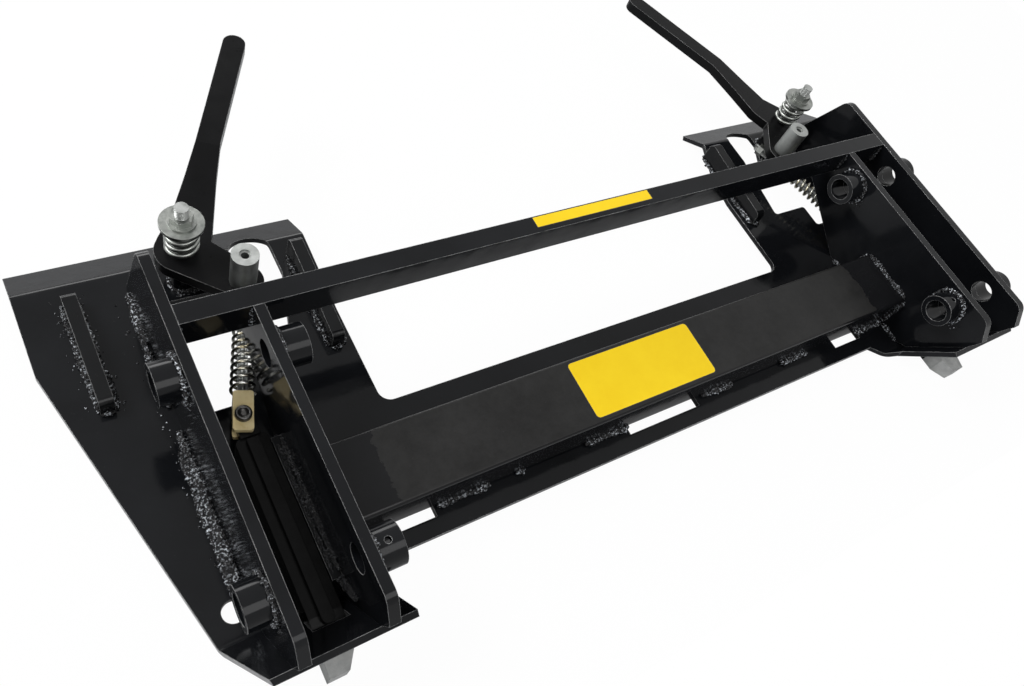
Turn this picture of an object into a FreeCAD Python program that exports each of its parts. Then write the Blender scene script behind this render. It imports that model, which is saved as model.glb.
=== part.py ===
import FreeCAD, Part
import math
import os
import re

import Sketcher

# Quick attach plate for a skid steer loader.
# X runs across the plate, Y up towards the handles, Z out of the rear face.
# The origin is on the front face, on the centre line, midway between the two pin lines.

SIZES = (
    ("plate_width", 1130.0, "width over both outer edges"),
    ("plate_thick", 6.35, "sheet thickness"),
    ("edge_margin", 97.3, "outer ears from the plate's outer edges"),
    ("ear_outer_x", "plate_width / 2 - edge_margin", "outside face of the outer ears"),
    ("ear_spread", 71.2, "between the outside faces of the two ears of a side"),
    ("ear_inner_x", "ear_outer_x - ear_spread", "outside face of the inner ears"),
    ("pivot_inset", 50.7, "lever pivots from the outer ears"),
    ("pivot_x", "ear_outer_x - pivot_inset", "lever pivots from the centre line"),
    ("top_bend_y", 273.0, "rear corner line of the top bend"),
    ("top_lip_len", 42.7, "length of the top lip along its slope"),
    ("top_lip_angle", 30.0, "how far the top lip leans forward"),
    ("low_bend_y", -100.6, "rear corner line of the bottom bend"),
    ("low_lip_len", 90.2, "length of the bottom lips along their slope"),
    ("low_lip_angle", 57.5, "how far the bottom lips turn to the rear"),
    ("bend_radius", 5.0, "inner radius of both bends"),
    ("taper_top_y", 185.0, "where the outer edges start to taper"),
    ("taper_bend_inset", 62.0, "taper of the outer edges down to the bottom bend"),
    ("taper_bend_half", "plate_width / 2 - taper_bend_inset", "half width at the bottom bend"),
    ("taper_tip_inset", 81.0, "taper of the outer edges down to the lip tips"),
    ("taper_tip_half", "plate_width / 2 - taper_tip_inset", "half width at the bottom lip tips"),
    ("lip_margin", 31.5, "inner ears to the inner ends of the lips"),
    ("lip_inner_half", "ear_inner_x - lip_margin", "inner ends of the two bottom lips"),
    ("strip_edge_y", -86.2, "free edge between the bottom lips"),
    ("strip_corner", 25.0, "slanted corner beside each bottom lip"),
    ("window_margin", 111.0, "inner ears to the sides of the window"),
    ("window_half", "ear_inner_x - window_margin", "half width of the window"),
    ("window_low_y", 57.0, "lower edge of the window"),
    ("window_kink_y", 172.0, "height where the window sides change slope"),
    ("window_radius", 13.0, "lower corner radius of the window"),
    ("window_left_lean", 3.5, "how far the left side of the window leans in"),
    ("window_left_top", "window_half - window_left_lean", "left side of the window at the top bend"),
    ("window_right_lean", 29.8, "how far the right side of the window leans out"),
    ("window_right_top", "window_half + window_right_lean", "right side of the window at the top bend"),
    ("opening_low_y", 135.0, "lower edge of the crank openings"),
    ("opening_low_reach", 69.0, "pivots to the inner lower corner of the openings"),
    ("opening_low_in", "pivot_x - opening_low_reach", "inner lower corner of the crank openings"),
    ("opening_mid_y", 228.0, "edge of the crank openings below the stud"),
    ("opening_out_reach", 24.0, "pivots to the outer side of the openings"),
    ("opening_out", "pivot_x + opening_out_reach", "outer side of the crank openings"),
    ("opening_slot_reach", 12.0, "pivots to the inner side of the slots"),
    ("opening_slot_in", "pivot_x - opening_slot_reach", "inner side of the slot below the crank openings"),
    ("opening_slot_y", 102.0, "lower end of that slot"),
    ("arch_top_y", 287.0, "top of the arch of the crank openings"),
    ("arch_width", 43.0, "width of the arch"),
    ("arch_left_reach", 96.0, "left pivot to the inner side of its arch"),
    ("arch_left_in", "pivot_x - arch_left_reach", "inner side of the left arch"),
    ("arch_right_reach", 55.0, "right pivot to the inner side of its arch"),
    ("arch_right_in", "pivot_x - arch_right_reach", "inner side of the right arch"),
    ("opening_radius", 9.0, "corner radius of the crank openings"),
    ("notch_low_y", -69.0, "lower side of the three notches"),
    ("notch_top_y", -52.0, "upper side of the three notches, under the beam"),
    ("notch_side_inset", 85.5, "inner ears to the centre of the side notches"),
    ("notch_side_x", "ear_inner_x - notch_side_inset", "centre of the side notches"),
    ("notch_side_width", 48.0, "width of the side notches"),
    ("notch_mid_width", 101.0, "width of the middle notch"),
    ("lift_hole_reach", 14.3, "outer ears to the round holes"),
    ("lift_hole_x", "ear_outer_x + lift_hole_reach", "round holes at the lower outer corners"),
    ("lift_hole_y", -76.0, "their height"),
    ("lift_hole_radius", 10.0, "their radius"),
    ("ear_thick", 10.0, "thickness of the four ears"),
    ("ear_rear_z", 124.85, "rear edge of the ears"),
    ("ear_top_y", 256.0, "top of the outer ears on the plate"),
    ("ear_shoulder_y", 209.0, "top of the outer ears at the rear edge"),
    ("ear_heel_y", -140.0, "lower end of the rear edge"),
    ("ear_toe_y", -155.5, "lowest point of the ears"),
    ("ear_toe_z", 102.35, "depth of the lowest point"),
    ("ear_radius", 13.0, "corner radius of the ears"),
    ("ear_cope", 9.0, "cut corner of the ears over the bottom bend"),
    ("inner_ear_foot_y", 50.0, "top of the inner ears on the plate"),
    ("inner_ear_knee_z", 60.8, "depth of the inner ears at the cross bar"),
    ("pin_spacing", 194.0, "distance between the two pin lines"),
    ("pin_z", 98.85, "pin lines above the front face"),
    ("pin_radius", 13.0, "bore of the pin bosses"),
    ("boss_radius", 19.0, "outer radius of the pin bosses"),
    ("boss_outer_len", 22.3, "length of the outer bosses"),
    ("boss_inner_len", 25.0, "length of the inner bosses"),
    ("vent_radius", 3.0, "cross hole of the lower inner bosses"),
    ("cross_low_y", 130.0, "lower face of the cross bar"),
    ("cross_height", 20.0, "height of the cross bar"),
    ("cross_depth", 33.0, "depth of the cross bar"),
    ("beam_low_y", -59.5, "lower face of the beam"),
    ("beam_height", 76.2, "height of the beam along the plate"),
    ("beam_depth", 50.8, "depth of the beam off the plate"),
    ("beam_wall", 6.35, "wall of the beam"),
    ("beam_radius", 4.0, "outer corner radius of the beam"),
    ("rib_thick", 13.0, "thickness of the four ribs"),
    ("rib_out_gap", 51.8, "outer ears to the centre of the outer ribs"),
    ("rib_out_x", "ear_outer_x + rib_out_gap", "centre of the outer ribs"),
    ("rib_in_gap", 17.0, "window to the centre of the inner ribs"),
    ("rib_in_x", "window_half + rib_in_gap", "centre of the inner ribs"),
    ("rib_low_y", 131.0, "lower end of the ribs"),
    ("rib_len", 121.0, "length of the ribs"),
    ("rib_height", 20.0, "height of the outer ribs and of the low end of the inner ones"),
    ("rib_tall", 29.0, "height of the inner ribs at the top"),
    ("guide_width", 9.5, "width of the wedge guides"),
    ("guide_top_y", 47.0, "upper end of the wedge guides"),
    ("guide_len", 143.0, "length of the wedge guides"),
    ("guide_height", 30.0, "height of the wedge guides"),
    ("pivot_y", 248.5, "lever pivots above the origin"),
    ("post_radius", 12.0, "radius of the post under each lever"),
    ("post_height", 30.0, "height of the post"),
    ("base_washer_radius", 17.0, "washer between post and lever"),
    ("base_washer_thick", 7.0, "its thickness"),
    ("stud_radius", 6.35, "pivot stud radius"),
    ("stud_tip_z", 119.35, "end of the pivot stud"),
    ("run_gap", 0.3, "clearance between moving faces"),
    ("thread_gap", 0.05, "clearance of a screwed or pressed fit"),
    ("lever_thick", 12.7, "thickness of the lever plate"),
    ("lever_lean", 29.8, "inward lean of the handles"),
    ("lever_hub_radius", 25.0, "round end about the pivot"),
    ("lever_eye_radius", 19.5, "round end about the crank"),
    ("crank_radius", 63.1, "pivot to crank pin"),
    ("crank_angle", 40.5, "crank pin from straight below the pivot"),
    ("handle_len", 275.0, "pivot to handle tip"),
    ("handle_root", 18.0, "outer half width of the handle near the hub"),
    ("handle_half", 12.2, "half width of the handle bar"),
    ("handle_flat_len", 40.0, "flat part before the first bend"),
    ("handle_bend_len", 122.0, "pivot to the second bend"),
    ("handle_rise", 19.0, "rise between the two bends"),
    ("handle_tip_rise", 29.5, "rise at the tip"),
    ("handle_tip_flat", 0.8, "what the round of the handle tip leaves of its half width"),
    ("handle_fillet", 22.0, "inner corner between handle and crank arm"),
    ("swivel_head_radius", 12.7, "tapped boss on top of the lever"),
    ("swivel_head_height", 41.0, "its height"),
    ("swivel_neck_radius", 9.0, "neck through the lever"),
    ("swivel_tap_radius", 3.75, "tapped hole in the boss"),
    ("swivel_tap_depth", 24.0, "its depth"),
    ("swivel_sink_radius", 5.4, "countersink of the tapped hole"),
    ("swivel_block_radius", 16.0, "block under the lever"),
    ("swivel_block_height", 16.5, "its height"),
    ("rod_side_play", 4.2, "side play of the rod in the swivel block"),
    ("rod_side_shift", 2.2, "how far the hole in the block sits inward"),
    ("pivot_spring_radius", 16.0, "outer radius of the pivot spring"),
    ("pivot_wire", 5.0, "wire of the pivot spring"),
    ("pivot_spring_len", 38.4, "length of the pivot spring"),
    ("pivot_turns", 3.75, "turns of the pivot spring"),
    ("cap_washer_radius", 20.0, "washer on top of the pivot spring"),
    ("cap_washer_thick", 3.5, "its thickness"),
    ("nut_flats", 19.0, "across flats of the pivot nut"),
    ("nut_height", 9.5, "height of the pivot nut"),
    ("nut_flange_radius", 13.0, "flange of the pivot nut"),
    ("nut_flange_thick", 2.2, "thickness of that flange"),
    ("wedge_inset", 46.2, "wedges from the outer ears"),
    ("wedge_x", "ear_outer_x - wedge_inset", "wedge centre from the centre line"),
    ("wedge_half", 14.5, "half width of the wedge"),
    ("wedge_lift", 0.4, "gap between wedge and plate"),
    ("wedge_thick", 29.6, "thickness of the wedge bar"),
    ("wedge_tip_y", -161.5, "lower end of the wedge"),
    ("wedge_tip_thick", 19.0, "thickness of the wedge at its tip"),
    ("wedge_taper_len", 48.0, "length of the tapered end"),
    ("wedge_bevel", 11.5, "width of the bevel on the inner side"),
    ("wedge_bevel_len", 18.0, "length of that bevel"),
    ("wedge_rib_half", 5.5, "half width of the rib on the wedge"),
    ("wedge_rib_height", 6.0, "height of that rib"),
    ("wedge_rib_low_y", -123.0, "lower end of that rib"),
    ("wedge_pin_y", 73.0, "clevis pin above the origin"),
    ("link_z", 35.0, "centre line of the link rod"),
    ("tongue_half", 9.0, "half width of the wedge tongue"),
    ("tongue_thick", 9.0, "thickness of the wedge tongue"),
    ("slot_gap", 1.5, "gap round the wedge in the bottom lip"),
    ("clevis_half", 9.0, "half width of the clevis"),
    ("clevis_depth", 20.0, "depth of the clevis"),
    ("clevis_foot", 15.0, "clevis below its pin"),
    ("clevis_top", 24.0, "clevis above its pin"),
    ("clevis_slot_top", 10.5, "closed end of the clevis slot"),
    ("clevis_pin_radius", 5.0, "clevis pin radius"),
    ("clevis_pin_out", 2.5, "pin standing out of each cheek"),
    ("clevis_head_radius", 7.5, "head of the clevis pin"),
    ("clevis_head_thick", 3.0, "thickness of that head"),
    ("rod_radius", 4.75, "link rod radius"),
    ("rod_end_gap", 5.0, "rod nut to swivel block"),
    ("rod_nut_flats", 14.0, "across flats of the rod nut"),
    ("rod_nut_height", 8.0, "height of the rod nut"),
    ("rod_tail", 4.0, "rod beyond its nut"),
    ("link_spring_radius", 12.0, "outer radius of the link spring at the clevis"),
    ("link_spring_top", 8.2, "its outer radius at the swivel block"),
    ("link_wire", 3.0, "wire of the link spring"),
    ("link_turns", 12.0, "turns of the link spring"),
)

ALIASES = {row[0] for row in SIZES}
WORD = re.compile(r"[a-z][a-z_]*")

doc = FreeCAD.newDocument("QuickAttachPlate")
dims = doc.addObject("Spreadsheet::Sheet", "Dims")
for row, (alias, number, meaning) in enumerate(SIZES, 1):
    dims.set("A%d" % row, meaning)
    dims.set("B%d" % row, "=" + number if isinstance(number, str) else str(number))
    dims.setAlias("B%d" % row, alias)
doc.recompute()

PARTS = []

# Lengths that several pieces share, as expressions of the sizes above.
LIP_Y = "cos(low_lip_angle)"
LIP_Z = "sin(low_lip_angle)"
LOW_TIP_Y = "(low_bend_y - low_lip_len * %s)" % LIP_Y
LOW_TIP_Z = "(plate_thick + low_lip_len * %s)" % LIP_Z
LOW_EDGE_Y = "(%s - plate_thick * %s)" % (LOW_TIP_Y, LIP_Z)
PIN_HALF = "(pin_spacing / 2)"
EAR_OUTER_IN = "(ear_outer_x - ear_thick)"
EAR_INNER_IN = "(ear_inner_x - ear_thick)"
LEVER_Z = "(plate_thick + post_height + base_washer_thick + run_gap)"
LEVER_TOP_Z = "(%s + lever_thick)" % LEVER_Z
CRANK_X = "(pivot_x - crank_radius * sin(crank_angle))"
CRANK_Y = "(pivot_y - crank_radius * cos(crank_angle))"
LINK_RUN = "(wedge_x - %s)" % CRANK_X
LINK_RISE = "(%s - wedge_pin_y)" % CRANK_Y
LINK_ANGLE = "atan(%s / %s)" % (LINK_RUN, LINK_RISE)
LINK_LEN = "sqrt(%s * %s + %s * %s)" % (LINK_RUN, LINK_RUN, LINK_RISE, LINK_RISE)
CAP_Z = "(%s + pivot_spring_len + 2 * run_gap)" % LEVER_TOP_Z
WEDGE_Z = "(plate_thick + wedge_lift)"
WEDGE_TOP_Z = "(%s + wedge_thick)" % WEDGE_Z
SHOULDER_Y = "(wedge_pin_y - clevis_foot - 3)"
SPRING_LOW = "(clevis_top + run_gap)"


def ex(text):
    """An expression with every size name led by the name of the sheet."""
    def lead(match):
        word = match.group(0)
        return "Dims." + word if word in ALIASES else word
    return WORD.sub(lead, text)


def val(text):
    """The number that an expression stands for."""
    result = dims.evalExpression(ex(text))
    return float(getattr(result, "Value", result))


def side(sign, text):
    """An X expression for the right side (1) or mirrored for the left (-1)."""
    return text if sign > 0 else "-(%s)" % text


def bind(thing, prop, text):
    """Set a property from an expression and keep it bound."""
    thing.setExpression(prop, ex(text))


def place(thing, where, turn=None):
    """Bind a Placement: three coordinates and an optional turn about Z."""
    angle = val(turn) if turn else 0.0
    spin = FreeCAD.Rotation(FreeCAD.Vector(0, 0, 1), angle)
    spot = FreeCAD.Vector(*[val(text) for text in where])
    thing.Placement = FreeCAD.Placement(spot, spin)
    for axis, text in zip("xyz", where):
        bind(thing, "Placement.Base." + axis, text)
    if turn:
        bind(thing, "Placement.Rotation.Angle", turn)


def new_body(label, where=("0", "0", "0"), turn=None):
    """An empty body with its label and place."""
    body = doc.addObject("PartDesign::Body", label)
    body.Label = label
    place(body, where, turn)
    PARTS.append(body)
    return body


def new_sketch(body, role, offset=None):
    """A sketch on one of the body's own planes, lifted along its normal."""
    sketch = body.newObject("Sketcher::SketchObject", "Sketch")
    plane = [f for f in body.Origin.OriginFeatures if f.Role == role][0]
    sketch.AttachmentSupport = (plane, "")
    sketch.MapMode = "FlatFace"
    if offset:
        bind(sketch, "AttachmentOffset.Base.z", offset)
    return sketch


def pin_point(sketch, geometry, spot, where):
    """Tie one point of a sketch to two expressions."""
    for kind, text in zip(("DistanceX", "DistanceY"), where):
        rule = Sketcher.Constraint(kind, -1, 1, geometry, spot, val(text))
        number = sketch.addConstraint(rule)
        bind(sketch, "Constraints[%d]" % number, text)


def add_loop(sketch, points):
    """A closed outline of straight lines through the given points."""
    first = sketch.GeometryCount
    count = len(points)
    spots = [FreeCAD.Vector(val(px), val(py), 0) for px, py in points]
    for i in range(count):
        sketch.addGeometry(Part.LineSegment(spots[i], spots[(i + 1) % count]), False)
    for i in range(count):
        after = first + (i + 1) % count
        sketch.addConstraint(Sketcher.Constraint("Coincident", first + i, 2, after, 1))
    for i, where in enumerate(points):
        pin_point(sketch, first + i, 1, where)


def add_circle(sketch, where, radius):
    """A circle about a point."""
    centre = FreeCAD.Vector(val(where[0]), val(where[1]), 0)
    circle = Part.Circle(centre, FreeCAD.Vector(0, 0, 1), val(radius))
    index = sketch.addGeometry(circle, False)
    pin_point(sketch, index, 3, where)
    number = sketch.addConstraint(Sketcher.Constraint("Radius", index, val(radius)))
    bind(sketch, "Constraints[%d]" % number, radius)


def box_loop(x_low, x_high, y_low, y_high):
    """The four corners of a rectangle."""
    return [(x_low, y_low), (x_high, y_low), (x_high, y_high), (x_low, y_high)]


def hexagon(flats):
    """The six corners of a hexagon of a given width across flats."""
    reach = "%s / 2 / cos(30)" % flats
    return [("%s * cos(%d)" % (reach, 60 * k), "%s * sin(%d)" % (reach, 60 * k)) for k in range(6)]


def pad(body, sketch, length, both=False, back=False):
    """Raise a sketch to one side, or half to each side."""
    feature = body.newObject("PartDesign::Pad", "Pad")
    feature.Profile = sketch
    feature.Midplane = both
    feature.Reversed = back
    bind(feature, "Length", length)
    doc.recompute()
    return feature


def cut(body, sketch, length=None, back=False):
    """Cut a sketch right through, or to a depth; the volume has to drop."""
    before = body.Shape.Volume
    feature = body.newObject("PartDesign::Pocket", "Pocket")
    feature.Profile = sketch
    feature.Reversed = back
    if length:
        bind(feature, "Length", length)
    else:
        feature.Type = "ThroughAll"
        feature.Midplane = True
    doc.recompute()
    if body.Shape.Volume > before - 1e-3:
        raise RuntimeError("a cut in %s removed nothing" % body.Label)
    return feature


def edges_at(shape, axis, spots):
    """Names of the straight edges along one axis that pass through the spots."""
    others = [k for k in range(3) if k != axis]
    names = []
    for number, edge in enumerate(shape.Edges, 1):
        if edge.Curve.TypeId != "Part::GeomLine":
            continue
        if abs(edge.Curve.Direction[axis]) < 0.999:
            continue
        point = edge.Vertexes[0].Point
        for spot in spots:
            if math.hypot(point[others[0]] - spot[0], point[others[1]] - spot[1]) < 0.05:
                names.append("Edge%d" % number)
                break
    return names


def round_at(body, axis, where, radius):
    """Round the edges along one axis that pass through the given points."""
    tip = body.Tip
    spots = [(val(px), val(py)) for px, py in where]
    names = edges_at(tip.Shape, axis, spots)
    if not names:
        raise RuntimeError("no edge to round in %s" % body.Label)
    feature = body.newObject("PartDesign::Fillet", "Fillet")
    feature.Base = (tip, names)
    bind(feature, "Radius", radius)
    doc.recompute()
    return feature


def primitive(kind, label, where, turn=None, **lengths):
    """A box or cylinder whose lengths are bound to expressions."""
    thing = doc.addObject("Part::" + kind, label)
    thing.Label = label
    for prop, text in lengths.items():
        bind(thing, prop, text)
    place(thing, where, turn)
    return thing


def ring(label, where, outer, inner, length, role="XY_Plane"):
    """A flat ring or a tube along the normal of a plane."""
    body = new_body(label, where)
    sketch = new_sketch(body, role)
    add_circle(sketch, ("0", "0"), outer)
    add_circle(sketch, ("0", "0"), inner)
    pad(body, sketch, length)
    return body


def plate_section(body):
    """The bent sheet, drawn in side view and raised over the whole width."""
    top_y = "(top_bend_y + top_lip_len * cos(top_lip_angle))"
    top_z = "(plate_thick - top_lip_len * sin(top_lip_angle))"
    rear = [
        (LOW_TIP_Y, LOW_TIP_Z),
        ("low_bend_y", "plate_thick"),
        ("top_bend_y", "plate_thick"),
        (top_y, top_z),
    ]
    front = [
        ("%s - plate_thick * sin(top_lip_angle)" % top_y,
         "%s - plate_thick * cos(top_lip_angle)" % top_z),
        ("top_bend_y - plate_thick * tan(top_lip_angle / 2)", "0"),
        ("low_bend_y - plate_thick * tan(low_lip_angle / 2)", "0"),
        (LOW_EDGE_Y, "%s - plate_thick * %s" % (LOW_TIP_Z, LIP_Y)),
    ]
    sketch = new_sketch(body, "YZ_Plane")
    add_loop(sketch, rear + front)
    pad(body, sketch, "plate_width", both=True)
    round_at(body, 0, [rear[1], front[1]], "bend_radius")
    round_at(body, 0, [rear[2], front[2]], "bend_radius + plate_thick")


def plate_outline(body):
    """Tapered outer edges and the gap between the two bottom lips."""
    sketch = new_sketch(body, "XY_Plane")
    below = "%s - 20" % LOW_EDGE_Y
    for sign in (1, -1):
        add_loop(sketch, [
            (side(sign, "plate_width / 2"), "taper_top_y"),
            (side(sign, "plate_width / 2 + 20"), "taper_top_y"),
            (side(sign, "plate_width / 2 + 20"), below),
            (side(sign, "taper_tip_half"), below),
            (side(sign, "taper_tip_half"), LOW_EDGE_Y),
            (side(sign, "taper_bend_half"), "low_bend_y"),
        ])
    cut(body, sketch)
    corner_x = "lip_inner_half - strip_corner"
    corner_y = "strip_edge_y - strip_corner"
    sketch = new_sketch(body, "XY_Plane")
    add_loop(sketch, [
        ("lip_inner_half", below),
        ("lip_inner_half", corner_y),
        (corner_x, "strip_edge_y"),
        ("-(%s)" % corner_x, "strip_edge_y"),
        ("-lip_inner_half", corner_y),
        ("-lip_inner_half", below),
    ])
    cut(body, sketch)


def plate_window(body):
    """The wide window, open through the top lip."""
    above = "top_bend_y + top_lip_len + 20"
    low = [("window_half", "window_low_y"), ("-window_half", "window_low_y")]
    points = [
        low[1],
        low[0],
        ("window_half", "window_kink_y"),
        ("window_half + (window_right_top - window_half) * 0.3", "(window_kink_y + top_bend_y) / 2"),
        ("window_right_top", "top_bend_y"),
        ("window_right_top", above),
        ("-window_left_top", above),
        ("-window_left_top", "top_bend_y"),
        ("-window_half", "window_kink_y"),
    ]
    sketch = new_sketch(body, "XY_Plane")
    add_loop(sketch, points)
    cut(body, sketch)
    round_at(body, 2, low, "window_radius")


def crank_opening(sign, arch_in):
    """Outline of the opening beside one pivot, from its lower inner corner."""
    arch_out = "(%s + arch_width)" % arch_in
    return [
        (side(sign, "opening_low_in"), "opening_low_y"),
        (side(sign, "opening_slot_in"), "opening_low_y"),
        (side(sign, "opening_slot_in"), "opening_slot_y"),
        (side(sign, "opening_out"), "opening_slot_y"),
        (side(sign, "opening_out"), "opening_mid_y"),
        (side(sign, "(%s + opening_slot_in) / 2 - 13" % arch_out), "opening_mid_y"),
        (side(sign, arch_out), "arch_top_y - arch_width * 0.8"),
        (side(sign, arch_out), "arch_top_y - arch_width / 2"),
        (side(sign, arch_in), "arch_top_y - arch_width / 2"),
        (side(sign, arch_in), "arch_top_y - arch_width * 1.3"),
    ]


def plate_openings(body):
    """Crank openings, notches under the beam, round holes and wedge slots."""
    sketch = new_sketch(body, "XY_Plane")
    left = crank_opening(-1, "arch_left_in")
    right = crank_opening(1, "arch_right_in")
    add_loop(sketch, left)
    add_loop(sketch, right)
    cut(body, sketch)
    round_at(body, 2, left[0:5] + right[0:5], "opening_radius / 2")
    sketch = new_sketch(body, "XY_Plane")
    for sign, arch_in in ((-1, "arch_left_in"), (1, "arch_right_in")):
        centre = (side(sign, "%s + arch_width / 2" % arch_in), "arch_top_y - arch_width / 2")
        add_circle(sketch, centre, "arch_width / 2")
    cut(body, sketch)
    sketch = new_sketch(body, "XY_Plane")
    for centre, width in (("0", "notch_mid_width"), ("notch_side_x", "notch_side_width"),
                          ("-notch_side_x", "notch_side_width")):
        edges = ("%s - %s / 2" % (centre, width), "%s + %s / 2" % (centre, width))
        add_loop(sketch, box_loop(edges[0], edges[1], "notch_low_y", "notch_top_y"))
    for sign in (1, -1):
        add_circle(sketch, (side(sign, "lift_hole_x"), "lift_hole_y"), "lift_hole_radius")
    cut(body, sketch)
    wedge_slots(body)


def wedge_slots(body):
    """The holes in the bottom lips that the wedges pass through."""
    sketch = new_sketch(body, "XZ_Plane", "-(low_bend_y + 4)")
    for sign in (1, -1):
        add_loop(sketch, box_loop(
            side(sign, "wedge_x") + " - wedge_half - slot_gap",
            side(sign, "wedge_x") + " + wedge_half + slot_gap",
            "plate_thick - 0.6",
            "%s + wedge_rib_height + slot_gap" % WEDGE_TOP_Z))
    cut(body, sketch, "low_lip_len + 20", back=True)


def make_plate():
    body = new_body("main_plate")
    plate_section(body)
    plate_outline(body)
    plate_window(body)
    plate_openings(body)


def ear_foot():
    """Lower end of every ear, from the rear edge round to the plate."""
    return [
        ("ear_heel_y", "ear_rear_z"),
        ("ear_toe_y", "ear_toe_z"),
        (LOW_TIP_Y, LOW_TIP_Z),
        ("low_bend_y - ear_cope * %s" % LIP_Y, "plate_thick + ear_cope * %s" % LIP_Z),
        ("low_bend_y + ear_cope", "plate_thick"),
    ]


def make_ear(label, start_x, head, rounded):
    """One ear: head points from the plate round to the rear edge, then the foot."""
    body = new_body(label, (start_x, "0", "0"))
    sketch = new_sketch(body, "YZ_Plane")
    add_loop(sketch, head + ear_foot())
    pad(body, sketch, "ear_thick")
    sketch = new_sketch(body, "YZ_Plane")
    add_circle(sketch, (PIN_HALF, "pin_z"), "pin_radius")
    add_circle(sketch, ("-%s" % PIN_HALF, "pin_z"), "pin_radius")
    cut(body, sketch)
    round_at(body, 0, rounded + ear_foot()[0:1], "ear_radius")


def make_ears():
    outer_head = [("ear_top_y", "plate_thick"), ("ear_shoulder_y", "ear_rear_z")]
    cross_front = "ear_rear_z - cross_depth"
    inner_head = [
        ("inner_ear_foot_y", "plate_thick"),
        ("cross_low_y + cross_height", "inner_ear_knee_z"),
        ("cross_low_y + cross_height", cross_front),
        ("cross_low_y", cross_front),
        ("cross_low_y", "ear_rear_z"),
    ]
    make_ear("outer_ear_right", EAR_OUTER_IN, outer_head, outer_head[1:2])
    make_ear("outer_ear_left", "-ear_outer_x", outer_head, outer_head[1:2])
    make_ear("inner_ear_right", EAR_INNER_IN, inner_head, [])
    make_ear("inner_ear_left", "-ear_inner_x", inner_head, [])


def make_boss(name, start, length, height):
    """One pin boss: a tube along X."""
    return ring(name, (start, height, "pin_z"), "boss_radius", "pin_radius", length, "YZ_Plane")


def make_bosses():
    for level, height in (("upper", PIN_HALF), ("lower", "-%s" % PIN_HALF)):
        make_boss("pin_boss_outer_%s_right" % level, "ear_outer_x", "boss_outer_len", height)
        make_boss("pin_boss_outer_%s_left" % level, "-ear_outer_x - boss_outer_len",
                  "boss_outer_len", height)
        right = make_boss("pin_boss_inner_%s_right" % level, "%s - boss_inner_len" % EAR_INNER_IN,
                          "boss_inner_len", height)
        left = make_boss("pin_boss_inner_%s_left" % level, "-%s" % EAR_INNER_IN,
                         "boss_inner_len", height)
        if level == "lower":
            for body in (right, left):
                sketch = new_sketch(body, "XY_Plane")
                add_circle(sketch, ("boss_inner_len / 2", "0"), "vent_radius")
                cut(body, sketch, "boss_radius + 1", back=True)


def make_bars():
    """The cross bar between the outer ears and the beam between the inner ones."""
    bar = primitive("Box", "upper_cross_bar",
                    ("-%s" % EAR_OUTER_IN, "cross_low_y", "ear_rear_z - cross_depth"),
                    Length="2 * %s" % EAR_OUTER_IN, Width="cross_height", Height="cross_depth")
    PARTS.append(bar)
    body = new_body("lower_beam", ("0", "beam_low_y", "plate_thick"))
    outer = box_loop("0", "beam_height", "0", "beam_depth")
    sketch = new_sketch(body, "YZ_Plane")
    add_loop(sketch, outer)
    pad(body, sketch, "2 * %s" % EAR_INNER_IN, both=True)
    round_at(body, 0, outer, "beam_radius")
    sketch = new_sketch(body, "YZ_Plane")
    add_loop(sketch, box_loop("beam_wall", "beam_height - beam_wall",
                              "beam_wall", "beam_depth - beam_wall"))
    cut(body, sketch)


def make_rib(label, centre, tall):
    """One stiffening rib on the rear face, taller towards the top bend."""
    body = new_body(label, (centre, "rib_low_y", "plate_thick"))
    sketch = new_sketch(body, "YZ_Plane")
    points = [("0", "0"), ("rib_len", "0"), ("rib_len", tall), ("0", "rib_height")]
    add_loop(sketch, points)
    pad(body, sketch, "rib_thick", both=True)
    round_at(body, 0, points[2:4], "rib_height * 0.35")


def make_ribs_and_guides():
    for sign, name in ((1, "right"), (-1, "left")):
        make_rib("outer_rib_" + name, side(sign, "rib_out_x"), "rib_height")
        make_rib("inner_rib_" + name, side(sign, "rib_in_x"), "rib_tall")
        inner_x = "ear_inner_x" if sign > 0 else "-ear_inner_x - guide_width"
        outer_x = "%s - guide_width" % EAR_OUTER_IN if sign > 0 else "-%s" % EAR_OUTER_IN
        low = "guide_top_y - guide_len"
        for kind, start in (("inner", inner_x), ("outer", outer_x)):
            body = new_body("%s_guide_%s" % (kind, name), (start, "0", "0"))
            sketch = new_sketch(body, "YZ_Plane")
            top = "plate_thick + guide_height"
            add_loop(sketch, [
                ("guide_top_y", "plate_thick"),
                ("guide_top_y", top),
                ("low_bend_y + ear_cope", top),
                ("low_bend_y + ear_cope", "plate_thick"),
            ])
            pad(body, sketch, "guide_width")


def make_post(sign, name):
    """The fixed stack under and over one lever."""
    where = (side(sign, "pivot_x"), "pivot_y")
    post = primitive("Cylinder", "pivot_post_" + name, where + ("plate_thick",),
                     Radius="post_radius", Height="post_height")
    PARTS.append(post)
    stud_low = "plate_thick + post_height"
    stud = primitive("Cylinder", "pivot_stud_" + name, where + (stud_low,),
                     Radius="stud_radius", Height="stud_tip_z - (%s)" % stud_low)
    PARTS.append(stud)
    ring("base_washer_" + name, where + (stud_low,), "base_washer_radius",
         "stud_radius + thread_gap", "base_washer_thick")
    ring("cap_washer_" + name, where + (CAP_Z,), "cap_washer_radius",
         "stud_radius + thread_gap", "cap_washer_thick")
    nut = new_body("pivot_nut_" + name, where + ("%s + cap_washer_thick" % CAP_Z,))
    sketch = new_sketch(nut, "XY_Plane")
    add_circle(sketch, ("0", "0"), "nut_flange_radius")
    pad(nut, sketch, "nut_flange_thick")
    sketch = new_sketch(nut, "XY_Plane")
    add_loop(sketch, hexagon("nut_flats"))
    pad(nut, sketch, "nut_height")
    sketch = new_sketch(nut, "XY_Plane")
    add_circle(sketch, ("0", "0"), "stud_radius + thread_gap")
    cut(nut, sketch)


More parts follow.
